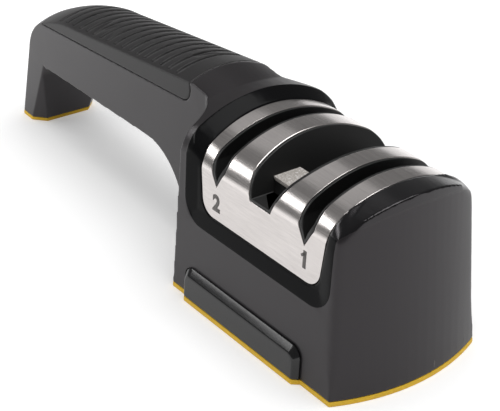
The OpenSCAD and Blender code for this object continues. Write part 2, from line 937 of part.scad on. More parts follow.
module base_pad() {
  color("gold") at_block() difference() {
    intersection() {
      union() {
        intersection() {
          wedge(0);
          nose_form(0);
          rear_space(0);
        }
        both_sides() plaque_foot();
        between_sides(handle_w) prism_y(handle_w + 8) polygon([
          [-neck - 2, -1], [4, -1], [4, 4], [-neck - 2, 4]
        ]);
      }
      slab(0, pad_t);
    }
    gap_cut();
  }
}

module foot_pad() {
  color("gold") at_block() difference() {
    intersection() {
      between_sides(handle_w) {
        leg_bar();
        prism_y(handle_w + 8) polygon([
          [leg_in + 2, -1], [leg_in + 2, 4],
          [foot_x + core_depth + 4, 4], [foot_x + core_depth + 3, -1]
        ]);
      }
      slab(0, pad_t);
    }
    gap_cut();
    leg_corners();
  }
}

// Stages, each drawn about its slot's middle plane with the rear arm on the +Y side

working = [-sin(abrasive_tilt), cos(abrasive_tilt)];
facing = [cos(abrasive_tilt), sin(abrasive_tilt)];
function blade(n, s) = [0, cross_z] + n * facing + s * working;
abrasive_low = -4;
abrasive_high = 7.5;
head_back = 4.6;

module at_fine() {
  at_block() translate([slot_fine, 0, 0]) children();
}

module at_coarse() {
  at_block() translate([slot_coarse, 0, 0]) children();
}

module front_of() {
  rotate([0, 0, 180]) children();
}

module arm_slice() {
  translate([0, arm_y + arm_w / 2, 0]) prism_y(arm_w) children();
}

module arm_form(seat) {
  difference() {
    arm_slice() union() {
      polygon([
        blade(-seat, 6), blade(-head_back, 6), [-arm_back, stage_high], [-arm_back, pin_z],
        [-pin_off + 2.7, pin_z], [-2.4, pin_z + 9], blade(0, abrasive_low - 2.2), blade(0, abrasive_low),
        blade(-seat, abrasive_low)
      ]);
      translate([-pin_off, pin_z]) circle(2.9);
    }
    translate([-pin_off, 0, pin_z]) rotate([90, 0, 0])
      cylinder(h = 60, r = pin_d / 2 + pin_play, center = true, $fn = 32);
  }
}

module rod_form(r) {
  p = blade(-rod_d / 2, abrasive_low);
  translate([p.x, arm_y + arm_w / 2, p.y]) rotate([0, -abrasive_tilt, 0])
    cylinder(h = abrasive_high - abrasive_low, r = r, $fn = 32);
}

module coarse_abrasive() {
  arm_slice() polygon([
    blade(0, abrasive_low), blade(0, abrasive_high), blade(-plate_abr_t, abrasive_high),
    blade(-plate_abr_t, abrasive_low)
  ]);
}

module fine_arm_form() {
  difference() {
    arm_form(rod_d / 2);
    rod_form(rod_d / 2 + 0.02);
  }
}

module stage_pins() {
  for (x = [-pin_off, pin_off]) translate([x, 0, pin_z]) rotate([90, 0, 0])
    cylinder(h = 2 * (cheek_y + cheek_t), r = pin_d / 2, center = true, $fn = 32);
}

module stage_frame() {
  out = cheek_y + cheek_t;
  difference() {
    union() {
      translate([-stage_half, -out, plate_top]) cube([2 * stage_half, 2 * out, stage_base - plate_top]);
      both_sides() translate([-pin_off - 4, cheek_y, plate_top])
        cube([2 * pin_off + 8, cheek_t, pin_z + 4 - plate_top]);
      for (a = [0, 180]) rotate([0, 0, a]) {
        translate([-stage_half, -out, plate_top]) cube([stage_wall, 2 * out, stage_high - plate_top]);
        translate([-stage_half + 0.2, arm_y + arm_w / 2, spring_z]) rotate([0, 90, 0])
          cylinder(h = 2.2, r = spring_d / 2 - wire_d - 0.35, $fn = 24);
      }
    }
    stage_pins();
    for (x = stage_screws) translate([x, 0, 0])
      cylinder(h = stage_base - 0.4, r = screw_r + fit / 2, $fn = 24);
  }
}

// Coil between the end wall and the rear arm's back
module arm_spring() {
  turns = 4;
  around = 14;
  sides = 6;
  len = stage_half - stage_wall - arm_back - wire_d - 0.04;
  r = (spring_d - wire_d) / 2;
  count = turns * around;
  points = [
    for (i = [0:count]) for (k = [0:sides - 1])
      let (a = i * 360 / around, b = k * 360 / sides, w = r + wire_d / 2 * cos(b))
      [w * cos(a), w * sin(a), len * i / count + wire_d / 2 * sin(b)]
  ];
  skin = [
    for (i = [0:count - 1]) for (k = [0:sides - 1])
      let (n = (k + 1) % sides)
      [i * sides + k, (i + 1) * sides + k, (i + 1) * sides + n, i * sides + n]
  ];
  ends = [[for (k = [0:sides - 1]) k], [for (k = [sides - 1:-1:0]) count * sides + k]];
  translate([-stage_half + stage_wall + wire_d / 2 + 0.02, arm_y + arm_w / 2, spring_z])
    rotate([0, 90, 0]) polyhedron(points, concat(skin, ends));
}

module coarse_frame() {
  color([0.3, 0.3, 0.32]) at_coarse() stage_frame();
}

module coarse_arm_rear() {
  color([0.25, 0.25, 0.27]) at_coarse() arm_form(plate_abr_t);
}

module coarse_arm_front() {
  color([0.25, 0.25, 0.27]) at_coarse() front_of() arm_form(plate_abr_t);
}

module coarse_plate_rear() {
  color([0.45, 0.45, 0.45]) at_coarse() coarse_abrasive();
}

module coarse_plate_front() {
  color([0.45, 0.45, 0.45]) at_coarse() front_of() coarse_abrasive();
}

module coarse_pins() {
  color("silver") at_coarse() stage_pins();
}

module coarse_spring_rear() {
  color("silver") at_coarse() arm_spring();
}

module coarse_spring_front() {
  color("silver") at_coarse() front_of() arm_spring();
}

module fine_frame() {
  color([0.3, 0.3, 0.32]) at_fine() stage_frame();
}

module fine_arm_rear() {
  color([0.25, 0.25, 0.27]) at_fine() fine_arm_form();
}

module fine_arm_front() {
  color([0.25, 0.25, 0.27]) at_fine() front_of() fine_arm_form();
}

module fine_rod_rear() {
  color("white") at_fine() rod_form(rod_d / 2);
}

module fine_rod_front() {
  color("white") at_fine() front_of() rod_form(rod_d / 2);
}

module fine_pins() {
  color("silver") at_fine() stage_pins();
}

module fine_spring_rear() {
  color("silver") at_fine() arm_spring();
}

module fine_spring_front() {
  color("silver") at_fine() front_of() arm_spring();
}

// Fasteners

module screw(low, len) {
  translate([0, 0, low]) {
    cylinder(h = head_t, r = head_r, $fn = 32);
    cylinder(h = len, r = screw_r, $fn = 24);
  }
}

module base_screws() {
  color("silver") at_block() at_base_screws() screw(pad_t, base_post_top - pad_t - 3);
}

module frame_screws() {
  color("silver") at_block() at_stage_screws() screw(pad_t, stage_base - pad_t - 0.8);
}

module handle_screws() {
  color("silver") at_block() for (x = strip_screws) translate([x, 0, 0]) screw(gap_z(x), strip_screw);
}

main_housing();
handle_cover();
grip_pad();
bezel();
steel_cover();
guide_insert();
pad_holder();
grit_plate();
side_plaque_right();
side_plaque_left();
bottom_plate();
base_pad();
foot_pad();
coarse_frame();
coarse_arm_rear();
coarse_arm_front();
coarse_plate_rear();
coarse_plate_front();
coarse_pins();
coarse_spring_rear();
coarse_spring_front();
fine_frame();
fine_arm_rear();
fine_arm_front();
fine_rod_rear();
fine_rod_front();
fine_pins();
fine_spring_rear();
fine_spring_front();
base_screws();
frame_screws();
handle_screws();
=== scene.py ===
"""Looks of a pull-through knife sharpener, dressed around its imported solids."""

import logging
import math
from contextlib import contextmanager
from dataclasses import dataclass, field
from enum import Enum
from typing import Any, Callable, Dict, Iterator, Optional, Sequence, Tuple, Union

import bpy
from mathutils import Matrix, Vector


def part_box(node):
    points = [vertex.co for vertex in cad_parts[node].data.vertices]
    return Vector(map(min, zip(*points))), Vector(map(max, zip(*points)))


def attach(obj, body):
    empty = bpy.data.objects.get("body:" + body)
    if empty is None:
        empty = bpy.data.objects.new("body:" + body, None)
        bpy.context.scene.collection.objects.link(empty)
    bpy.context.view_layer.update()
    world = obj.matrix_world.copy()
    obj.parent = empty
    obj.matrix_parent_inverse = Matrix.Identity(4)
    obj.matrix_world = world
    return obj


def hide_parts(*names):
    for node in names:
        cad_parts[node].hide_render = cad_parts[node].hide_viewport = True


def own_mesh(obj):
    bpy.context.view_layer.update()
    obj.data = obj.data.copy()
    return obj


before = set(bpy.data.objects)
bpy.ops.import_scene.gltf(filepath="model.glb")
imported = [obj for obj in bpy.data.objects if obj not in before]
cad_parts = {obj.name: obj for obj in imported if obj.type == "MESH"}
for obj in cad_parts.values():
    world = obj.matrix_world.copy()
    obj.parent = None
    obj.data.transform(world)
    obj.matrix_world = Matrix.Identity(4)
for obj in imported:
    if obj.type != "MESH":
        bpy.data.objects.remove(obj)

LOG = logging.getLogger("sharpener")
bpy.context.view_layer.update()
MM = 0.001
PHOTO_WIDTH = 500
SENSOR_WIDTH = 36.0
NUMBER_CAP = 0.69
WHITE = (1.0, 1.0, 1.0)
MERGE_DISTANCE = 2e-6
SMOOTHING = 0.5
FLAT_ANGLE = math.radians(0.6)
BEVEL_ANGLE = math.radians(28)
SMOOTH_ANGLE = math.radians(40)

Colour = Tuple[float, float, float]
Number = Union[float, int, "Val"]


class Body(Enum):
    """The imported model's body that the drawn pieces ride on."""

    FIXED = "sharpener"


class Side(Enum):
    """Ends of a sharpening stage, seen along the block."""

    REAR = "rear"
    FRONT = "front"


# Mesh work


def deselect_all() -> None:
    """Leaves nothing selected."""
    bpy.ops.object.select_all(action="DESELECT")


def activate(obj: bpy.types.Object) -> None:
    """Makes one object the only selected and the active one."""
    deselect_all()
    obj.select_set(True)
    bpy.context.view_layer.objects.active = obj


@contextmanager
def edit_mode(obj: bpy.types.Object) -> Iterator[bpy.types.Mesh]:
    """Opens an object in edit mode for the length of a with block.

    Args:
        obj: The mesh object to edit.

    Returns:
        An iterator over its mesh, for use in a with statement.
    """
    activate(obj)
    bpy.ops.object.mode_set(mode="EDIT")
    try:
        yield obj.data
    finally:
        bpy.ops.object.mode_set(mode="OBJECT")


def apply_modifier(obj: bpy.types.Object, kind: str, **settings: Any) -> None:
    """Adds one modifier and applies it at once.

    Args:
        obj: The mesh object to change.
        kind: Blender's name for the kind of modifier.
        settings: The modifier's own settings.
    """
    activate(obj)
    modifier = obj.modifiers.new(kind.title(), kind)
    for name, value in settings.items():
        setattr(modifier, name, value)
    bpy.ops.object.modifier_apply(modifier=modifier.name)


def merged_copy(node: str, name: str) -> bpy.types.Object:
    """Copies a node's loose triangles into one joined mesh.

    Args:
        node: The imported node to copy.
        name: The new piece's name.

    Returns:
        The new object, at the origin.
    """
    obj = bpy.data.objects.new(name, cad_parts[node].data.copy())
    bpy.context.scene.collection.objects.link(obj)
    obj.data.materials.clear()
    activate(obj)
    bpy.ops.mesh.customdata_custom_splitnormals_clear()
    with edit_mode(obj):
        bpy.ops.mesh.select_all(action="SELECT")
        bpy.ops.mesh.remove_doubles(threshold=MERGE_DISTANCE)
        bpy.ops.mesh.mark_sharp(clear=True)
    return obj


def join(obj: bpy.types.Object, other: bpy.types.Object) -> None:
    """Takes another object's mesh into an object."""
    activate(obj)
    other.select_set(True)
    bpy.ops.object.join()


def soften(obj: bpy.types.Object, voxel: float, passes: int, keep: float,
           round_off: Optional[Callable[[bpy.types.Object], None]] = None) -> None:
    """Rebuilds a piece with every edge rounded, as a moulding has them.

    Args:
        obj: The piece, closed all round.
        voxel: Size of the rebuilt mesh's cells, in metres.
        passes: Number of smoothing passes.
        keep: Share of the faces that is kept at the end.
        round_off: What rounds some places more, while the mesh is still fine.
    """
    apply_modifier(obj, "REMESH", mode="VOXEL", voxel_size=voxel)
    apply_modifier(obj, "SMOOTH", factor=SMOOTHING, iterations=passes)
    if round_off:
        round_off(obj)
    apply_modifier(obj, "DECIMATE", ratio=keep)
    activate(obj)
    bpy.ops.object.shade_smooth()


def bevelled_copy(node: str, name: str, width: float, segments: int = 2) -> bpy.types.Object:
    """Rebuilds a node with a small true radius along its sharp edges.

    Args:
        node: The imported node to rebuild.
        name: The new piece's name.
        width: Width of the bevel, in metres.
        segments: Faces across the bevel.

    Returns:
        The new object.
    """
    obj = merged_copy(node, name)
    apply_modifier(obj, "DECIMATE", decimate_type="DISSOLVE", angle_limit=FLAT_ANGLE)
    apply_modifier(obj, "BEVEL", width=width, segments=segments, limit_method="ANGLE",
                   angle_limit=BEVEL_ANGLE, use_clamp_overlap=False, harden_normals=False)
    apply_modifier(obj, "TRIANGULATE")
    activate(obj)
    bpy.ops.object.shade_smooth_by_angle(angle=SMOOTH_ANGLE)
    apply_modifier(obj, "WEIGHTED_NORMAL", keep_sharp=True)
    return obj


# Shader work


class Val:
    """A node's value that Python's operators can work on."""

    def __init__(self, graph: "Graph", socket: bpy.types.NodeSocket) -> None:
        """Holds a socket and the graph that it belongs to."""
        self.graph = graph
        self.socket = socket

    def __add__(self, other: Number) -> "Val":
        """Adds."""
        return self.graph.math("ADD", self, other)

    def __radd__(self, other: Number) -> "Val":
        """Adds to a number."""
        return self.graph.math("ADD", other, self)

    def __sub__(self, other: Number) -> "Val":
        """Subtracts."""
        return self.graph.math("SUBTRACT", self, other)

    def __rsub__(self, other: Number) -> "Val":
        """Subtracts from a number."""
        return self.graph.math("SUBTRACT", other, self)

    def __mul__(self, other: Number) -> "Val":
        """Multiplies."""
        return self.graph.math("MULTIPLY", self, other)

    def __rmul__(self, other: Number) -> "Val":
        """Multiplies a number."""
        return self.graph.math("MULTIPLY", other, self)

    def __pow__(self, other: Number) -> "Val":
        """Raises to a power."""
        return self.graph.math("POWER", self, other)

    def above(self, limit: Number) -> "Val":
        """Is 1 where the value is over a limit and 0 elsewhere."""
        return self.graph.math("GREATER_THAN", self, limit)

    def at_least(self, limit: Number) -> "Val":
        """Takes the greater of the value and a limit."""
        return self.graph.math("MAXIMUM", self, limit)


class Graph:
    """A node graph that is filled by one maker method."""

    def __init__(self, tree: bpy.types.NodeTree) -> None:
        """Empties a node tree and takes it over."""
        self.tree = tree
        tree.nodes.clear()

    def add(self, kind: str, settings: Optional[Dict[str, Any]] = None,
            inputs: Optional[Dict[Any, Any]] = None) -> bpy.types.Node:
        """Makes a node.

        Args:
            kind: The node's type.
            settings: Its own settings.
            inputs: Values or links of its sockets, by name or place.

        Returns:
            The node.
        """
        node = self.tree.nodes.new(kind)
        for name, value in (settings or {}).items():
            setattr(node, name, value)
        for name, value in (inputs or {}).items():
            self.put(node.inputs[name], value)
        return node

    def put(self, socket: bpy.types.NodeSocket, value: Any) -> None:
        """Links a value to a socket, or sets it there."""
        if isinstance(value, Val):
            self.tree.links.new(value.socket, socket)
        elif isinstance(value, bpy.types.NodeSocket):
            self.tree.links.new(value, socket)
        elif isinstance(value, (tuple, list)) and socket.type == "RGBA":
            socket.default_value = (*value[:3], 1.0)
        else:
            socket.default_value = value

    def math(self, operation: str, first: Number, second: Number) -> Val:
        """Adds a Math node for two values."""
        node = self.add("ShaderNodeMath", {"operation": operation}, {0: first, 1: second})
        return Val(self, node.outputs[0])

    def places(self, scale: Sequence[float] = (1, 1, 1)) -> bpy.types.NodeSocket:
        """The object's own coordinates in metres, stretched by a scale."""
        where = self.add("ShaderNodeTexCoord").outputs["Object"]
        if tuple(scale) == (1, 1, 1):
            return where
        return self.add("ShaderNodeMapping", None, {"Vector": where, "Scale": scale}).outputs[0]

    def noise(self, size: float, detail: float = 2.0, stretch: Sequence[float] = (1, 1, 1)) -> Val:
        """Soft noise from 0 to 1.

        Args:
            size: Size of its patches, in metres.
            detail: How many finer layers it has.
            stretch: How much it is drawn out along each axis.

        Returns:
            The noise.
        """
        node = self.add("ShaderNodeTexNoise", {"noise_dimensions": "3D"}, {
            "Vector": self.places([1 / s for s in stretch]), "Scale": 1 / size, "Detail": detail})
        return Val(self, node.outputs["Fac"])

    def cells(self, size: float) -> Val:
        """Grain-like cells of a size in metres."""
        node = self.add("ShaderNodeTexVoronoi", None, {"Vector": self.places(), "Scale": 1 / size})
        return Val(self, node.outputs["Distance"])

    def blend(self, share: Number, first: Any, second: Any) -> bpy.types.NodeSocket:
        """Mixes two colours."""
        node = self.add("ShaderNodeMix", {"data_type": "RGBA"}, {
            "Factor": share, 6: first, 7: second})
        return node.outputs[2]

    def bump(self, height: Number, depth: float, strength: float = 1.0) -> bpy.types.NodeSocket:
        """A normal raised by a height.

        Args:
            height: The relief, from 0 to 1.
            depth: What a height of 1 stands for, in metres.
            strength: How much of the relief is used.

        Returns:
            The normal.
        """
        return self.add("ShaderNodeBump", None, {
            "Height": height, "Distance": depth, "Strength": strength}).outputs[0]


@dataclass(frozen=True)
class Finish:
    """A surface finish, made into a material once."""

    name: str
    colour: Colour
    roughness: float
    shine: float = 0.5
    metal: float = 0.0

    def material(self) -> bpy.types.Material:
        """Returns the finish's material, and makes it at first use."""
        found = bpy.data.materials.get(self.name)
        if found:
            return found
        made = bpy.data.materials.new(self.name)
        made.use_nodes = True
        graph = Graph(made.node_tree)
        graph.add("ShaderNodeOutputMaterial", None, {"Surface": self.shader(graph)})
        made.diffuse_color = (*self.colour, 1.0)
        return made

    def shader(self, graph: Graph) -> bpy.types.NodeSocket:
        """One shader with the constants and the changing values."""
        node = graph.add("ShaderNodeBsdfPrincipled", None, self.constants())
        for socket, value in self.surface(graph).items():
            graph.put(node.inputs[socket], value)
        return node.outputs[0]

    def constants(self) -> Dict[str, Any]:
        """Shader values that are the same all over."""
        return {"Specular IOR Level": self.shine, "Metallic": self.metal}

    def surface(self, graph: Graph) -> Dict[str, Any]:
        """Shader values that change over the surface, by socket."""
        raise NotImplementedError

    def tones(self, graph: Graph, share: Number, spread: float) -> bpy.types.NodeSocket:
        """The colour, made darker and paler by a spread."""
        dark = tuple(c * (1 - spread) for c in self.colour)
        pale = tuple(min(c * (1 + spread), 1.0) for c in self.colour)
        return graph.blend(share, dark, pale)


@dataclass(frozen=True)
class Grained(Finish):
    """A finish with large soft patches and a fine grain in relief.

    Sizes and the relief's depth are in metres. The patch share says how much of the tone follows
    the patches and not the grain, the spread how far the tone goes either way, and each play how
    far the roughness goes.
    """

    patch: float = 12 * MM
    patch_detail: float = 2
    patch_stretch: Tuple[float, float, float] = (1, 1, 1)
    patch_share: float = 0.6
    patch_play: float = 0.0
    grain: float = 0.3 * MM
    grain_detail: float = 2
    grain_play: float = 0.1
    spread: float = 0.1
    depth: float = 0.03 * MM
    strength: float = 0.3

    def surface(self, graph: Graph) -> Dict[str, Any]:
        """Uneven tone and gloss, and the grain's relief."""
        patches = graph.noise(self.patch, self.patch_detail, self.patch_stretch)
        grain = graph.noise(self.grain, self.grain_detail)
        share = patches * self.patch_share + grain * (1 - self.patch_share)
        least = self.roughness - (self.patch_play + self.grain_play) / 2
        return {
            "Base Color": self.tones(graph, share, self.spread),
            "Roughness": least + patches * self.patch_play + grain * self.grain_play,
            "Normal": graph.bump(grain, self.depth, self.strength),
        }


@dataclass(frozen=True)
class MouldedPlastic(Grained):
    """Satin plastic from a spark-eroded mould."""

    patch: float = 22 * MM
    patch_detail: float = 3
    patch_play: float = 0.06
    grain: float = 0.35 * MM
    grain_detail: float = 3
    grain_play: float = 0.06
    strength: float = 0.35


@dataclass(frozen=True)
class FramedPlastic(MouldedPlastic):
    """Satin body plastic that turns to polished black on the frame of the steel, with painted
    shade on the band round the steel.
    """

    shine: float = 0.43
    cast: Colour = (1.0, 0.945, 0.985)
    frame_colour: Colour = (0.005, 0.005, 0.0055)
    frame_roughness: float = 0.2
    # painted shade: the band round the steel reflects less than the frame, so that it looks darker
    painted_shade_shine: float = 0.06
    corner: float = 8 * MM
    skirt: float = 4 * MM
    nose_split: float = 50.5 * MM
    nose_lean: float = 0.9
    nose_room: float = 3 * MM

    def constants(self) -> Dict[str, Any]:
        """Reflections with a faint warm purple cast."""
        return {**super().constants(), "Specular Tint": self.cast}

    def frame_shares(self, graph: Graph) -> Tuple[Val, Val]:
        """Masks seen from the side: the whole frame, and its band round the steel, which carries
        painted shade.
        """
        rear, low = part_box("bezel")[0][0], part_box("bezel")[0][2] + self.skirt
        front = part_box("steel_cover")[1][0] + self.nose_room
        where = graph.add("ShaderNodeSeparateXYZ", None, {0: graph.places()}).outputs
        x, z = Val(graph, where[0]), Val(graph, where[2])
        past_x = (rear + self.corner - x).at_least(x - (front - self.corner)).at_least(0.0)
        past_z = (low + self.corner - z).at_least(0.0)
        window = 1 - (past_x ** 2 + past_z ** 2).above(self.corner ** 2)
        brow = (z - self.nose_split).above(0.0) * x.above(front - self.corner)
        split = (x - (z - self.nose_split) * self.nose_lean).above(front)
        return window.at_least(brow * (1 - split)), window * (1 - brow)

    def shader(self, graph: Graph) -> bpy.types.NodeSocket:
        """The body's shader, and painted shade on the band round the steel: the same black with a
        weaker reflection.
        """
        body = super().shader(graph)
        # painted shade on the band round the steel: its weak reflection makes it darker
        band = graph.add("ShaderNodeBsdfPrincipled", None, {
            "Base Color": self.frame_colour, "Roughness": self.frame_roughness,
            "Specular IOR Level": self.painted_shade_shine})
        return graph.add("ShaderNodeMixShader", None, {
            0: self.frame_shares(graph)[1], 1: body, 2: band.outputs[0]}).outputs[0]

    def surface(self, graph: Graph) -> Dict[str, Any]:
        """The body's satin, and a smoother black on the frame."""
        body = super().surface(graph)
        share = self.frame_shares(graph)[0]
        plain = body["Roughness"]
        return {
            "Base Color": graph.blend(share, body["Base Color"], self.frame_colour),
            "Roughness": plain + (self.frame_roughness - plain) * share,
            "Normal": body["Normal"],
        }


@dataclass(frozen=True)
class GlossPlastic(Finish):
    """Polished black plastic with a slight ripple and a few fine scuffs."""

    ripple: float = 3 * MM
    scuff: float = 0.5 * MM
    scuff_stretch: Tuple[float, float, float] = (14, 1, 2)
    scuff_play: float = 0.08
    spread: float = 0.15
    depth: float = 0.02 * MM
    strength: float = 0.5

    def surface(self, graph: Graph) -> Dict[str, Any]:
        """Even black with faint ripple and scuffed gloss."""
        ripple = graph.noise(self.ripple, 1)
        scuffs = graph.noise(self.scuff, 2, self.scuff_stretch)
        return {
            "Base Color": self.tones(graph, ripple, self.spread),
            "Roughness": self.roughness + scuffs * self.scuff_play,
            "Normal": graph.bump(ripple, self.depth, self.strength),
        }


@dataclass(frozen=True)
class GripRubber(Grained):
    """Soft grip compound, dull and faintly pebbled."""

    shine: float = 0.4
    sheen: float = 0.06
    sheen_roughness: float = 0.4
    patch: float = 14 * MM
    patch_detail: float = 3
    patch_share: float = 0.5
    grain: float = 0.25 * MM
    grain_detail: float = 3
    spread: float = 0.14
    strength: float = 0.4

    def constants(self) -> Dict[str, Any]:
        """Dull reflection with a little sheen at grazing angles."""
        return {**super().constants(), "Sheen Weight": self.sheen,
                "Sheen Roughness": self.sheen_roughness}


@dataclass(frozen=True)
class BrushedSteel(Finish):
    """Stainless sheet brushed along the block."""

    metal: float = 1.0
    fine: float = 0.2 * MM
    fine_stretch: Tuple[float, float, float] = (90, 1, 1)
    fine_share: float = 0.6
    long: float = 0.6 * MM
    long_stretch: Tuple[float, float, float] = (60, 1, 1)
    cloud: float = 9 * MM
    cloud_share: float = 0.2
    spread: float = 0.3
    play: float = 0.12
    depth: float = 0.012 * MM
    strength: float = 0.5

    def surface(self, graph: Graph) -> Dict[str, Any]:
        """Long fine scratches of two lengths over a cloudy ground."""
        fine = graph.noise(self.fine, 2, self.fine_stretch)
        long = graph.noise(self.long, 2, self.long_stretch)
        clouds = graph.noise(self.cloud, 2)
        lines = fine * self.fine_share + long * (1 - self.fine_share)
        share = lines * (1 - self.cloud_share) + clouds * self.cloud_share
        return {
            "Base Color": self.tones(graph, share, self.spread),
            "Roughness": self.roughness - self.play / 2 + lines * self.play,
            "Normal": graph.bump(lines, self.depth, self.strength),
        }


@dataclass(frozen=True)
class GritSurface(Finish):
    """Abrasive grains bonded in a plate."""

    grain: float = 0.3 * MM
    speck: float = 1.4
    spread: float = 0.45
    sparkle_from: float = 0.6
    # painted highlight: the sparkling specks get a paler colour; their lower roughness is real
    # gloss
    painted_sparkle_share: float = 0.6
    painted_sparkle_gain: float = 2.6
    painted_sparkle_most: float = 0.85
    sparkle_gloss: float = 0.25
    depth: float = 0.12 * MM
    strength: float = 0.8

    def surface(self, graph: Graph) -> Dict[str, Any]:
        """Darker and paler specks at random, painted sparkle highlights on some specks, which are
        also glossier, and grains that stand up from the bond.
        """
        grains = graph.cells(self.grain)
        specks = graph.noise(self.grain * self.speck, 2)
        sparkle = specks.above(self.sparkle_from)
        ground = self.tones(graph, specks, self.spread)
        # painted highlight: paler colour standing in for the sparkle of the specks
        pale = tuple(min(c * self.painted_sparkle_gain, self.painted_sparkle_most) for c in self.colour)
        return {
            "Base Color": graph.blend(sparkle * self.painted_sparkle_share, ground, pale),
            "Roughness": self.roughness - self.sparkle_gloss * sparkle,
            "Normal": graph.bump(1 - grains, self.depth, self.strength),
        }


@dataclass(frozen=True)
class SoftPad(Grained):
    """Non-slip elastomer, even in colour with a fine dull texture."""

    spread: float = 0.08


@dataclass(frozen=True)
class PlainMetal(Grained):
    """Drawn or turned metal of pins, springs and screws, with a little tarnish."""

    metal: float = 1.0
    patch: float = 4 * MM
    patch_share: float = 0.7
    grain: float = 0.15 * MM
    spread: float = 0.12
    depth: float = 0.01 * MM


@dataclass(frozen=True)
class Ceramic(Grained):
    """Fine white ceramic with faint grey smears along the rod."""

    patch: float = 1.2 * MM
    patch_detail: float = 3
    patch_stretch: Tuple[float, float, float] = (1, 1, 5)
    patch_share: float = 0.7
    grain: float = 0.12 * MM
    spread: float = 0.12
    depth: float = 0.01 * MM
    strength: float = 0.4


@dataclass(frozen=True)
class EtchedMark(Finish):
    """Grey blotchy etch on half-bare steel."""

    metal: float = 0.4
    blotch: float = 0.4 * MM
    spread: float = 0.25
    play: float = 0.2
    depth: float = 0.02 * MM
    strength: float = 0.4

    def surface(self, graph: Graph) -> Dict[str, Any]:
        """Blotchy oxide."""
        blotches = graph.noise(self.blotch, 3)
        return {
            "Base Color": self.tones(graph, blotches, self.spread),
            "Roughness": self.roughness - self.play / 2 + blotches * self.play,
            "Normal": graph.bump(blotches, self.depth, self.strength),
        }


HOUSING_PLASTIC = FramedPlastic("housing_satin", (0.014, 0.0125, 0.0135), 0.36)
STRIP_PLASTIC = MouldedPlastic("strip_satin", (0.013, 0.012, 0.013), 0.4)
PLAQUE_GLOSS = GlossPlastic("plaque_black", (0.006, 0.006, 0.0065), 0.12)
INSERT_BLACK = MouldedPlastic("insert_matt_black", (0.007, 0.007, 0.007), 0.42)
GRIP_RUBBER = GripRubber("grip_rubber", (0.013, 0.012, 0.0126), 0.5)
COVER_STEEL = BrushedSteel("brushed_steel", (0.63, 0.595, 0.58), 0.2)
PAD_GRIT = GritSurface("pad_grit", (0.42, 0.39, 0.36), 0.8)
COARSE_GRIT = GritSurface("coarse_grit", (0.12, 0.12, 0.125), 0.75, grain=0.2 * MM)
BASE_YELLOW = SoftPad("base_yellow", (0.94, 0.58, 0.03), 0.55)
BRACKET_PLASTIC = MouldedPlastic("bracket_plastic", (0.05, 0.05, 0.055), 0.5)
ARM_PLASTIC = MouldedPlastic("arm_plastic", (0.03, 0.03, 0.033), 0.45)
PIN_METAL = PlainMetal("pin_metal", (0.6, 0.59, 0.57), 0.28)
ROD_CERAMIC = Ceramic("rod_ceramic", (0.74, 0.73, 0.70), 0.4)
NUMBER_ETCH = EtchedMark("number_etch", (0.16, 0.15, 0.145), 0.55)


# Pieces


def place(obj: bpy.types.Object, body: Body, slot: str, finish: Finish, *nodes: str) -> None:
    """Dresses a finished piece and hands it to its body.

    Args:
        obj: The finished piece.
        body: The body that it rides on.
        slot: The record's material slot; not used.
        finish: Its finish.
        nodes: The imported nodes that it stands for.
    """
    obj.data.materials.clear()
    obj.data.materials.append(finish.material())
    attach(obj, body.value)
    if nodes:
        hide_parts(*nodes)
    LOG.info("%s: %d faces on %s", obj.name, len(obj.data.polygons), body.value)


def dress_node(node: str, finish: Finish) -> None:
    """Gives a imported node, whose shape stays, its finish."""
    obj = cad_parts[node]
    obj.data.materials.clear()
    obj.data.materials.append(finish.material())
    LOG.info("%s: packed shape, %s", node, finish.name)


@dataclass
class Housing:
    """The moulded body: block, bridge handle and leg, with the frame of the steel."""

    voxel: float = 0.36 * MM
    passes: int = 3
    keep: float = 0.14
    overlap: float = 0.12 * MM
    strip_bevel: float = 0.3 * MM
    nose_start: Tuple[float, float, float] = (98 * MM, 17 * MM, 6 * MM)
    nose_ease: Tuple[float, float, float] = (2.5 * MM, 4 * MM, 10 * MM)
    nose_passes: int = 160

    def round_nose(self, obj: bpy.types.Object) -> None:
        """Rounds the upright corners of the nose more than the other edges."""
        group = obj.vertex_groups.new(name="nose")
        for vertex in obj.data.vertices:
            spot = (vertex.co.x, abs(vertex.co.y), vertex.co.z)
            steps = zip(spot, self.nose_start, self.nose_ease)
            shares = [(at - start) / ease for at, start, ease in steps]
            if min(shares) > 0:
                group.add([vertex.index], min(shares + [1.0]), "REPLACE")
        apply_modifier(obj, "SMOOTH", factor=SMOOTHING, iterations=self.nose_passes,
                       vertex_group=group.name)
        obj.vertex_groups.clear()

    def build(self) -> None:
        """Makes the body, the frame that runs on from it and the strip that closes it."""
        body = merged_copy("main_housing", "housing")
        rim = merged_copy("bezel", "frame")
        apply_modifier(rim, "DISPLACE", strength=self.overlap, mid_level=0.0)
        join(body, rim)
        soften(body, self.voxel, self.passes, self.keep, self.round_nose)
        place(body, Body.FIXED, "housing", HOUSING_PLASTIC, "main_housing", "bezel")
        strip = bevelled_copy("handle_cover", "handle_strip", self.strip_bevel)
        place(strip, Body.FIXED, "housing", STRIP_PLASTIC, "handle_cover")
        dress_node("handle_screws", PIN_METAL)


@dataclass
class Grip:
    """The ribbed soft pad on the handle."""

    voxel: float = 0.34 * MM
    passes: int = 4
    keep: float = 0.5

    def build(self) -> None:
        """Makes the pad with rounded ribs."""
        pad = merged_copy("grip_pad", "grip")
        soften(pad, self.voxel, self.passes, self.keep)
        place(pad, Body.FIXED, "grip", GRIP_RUBBER, "grip_pad")


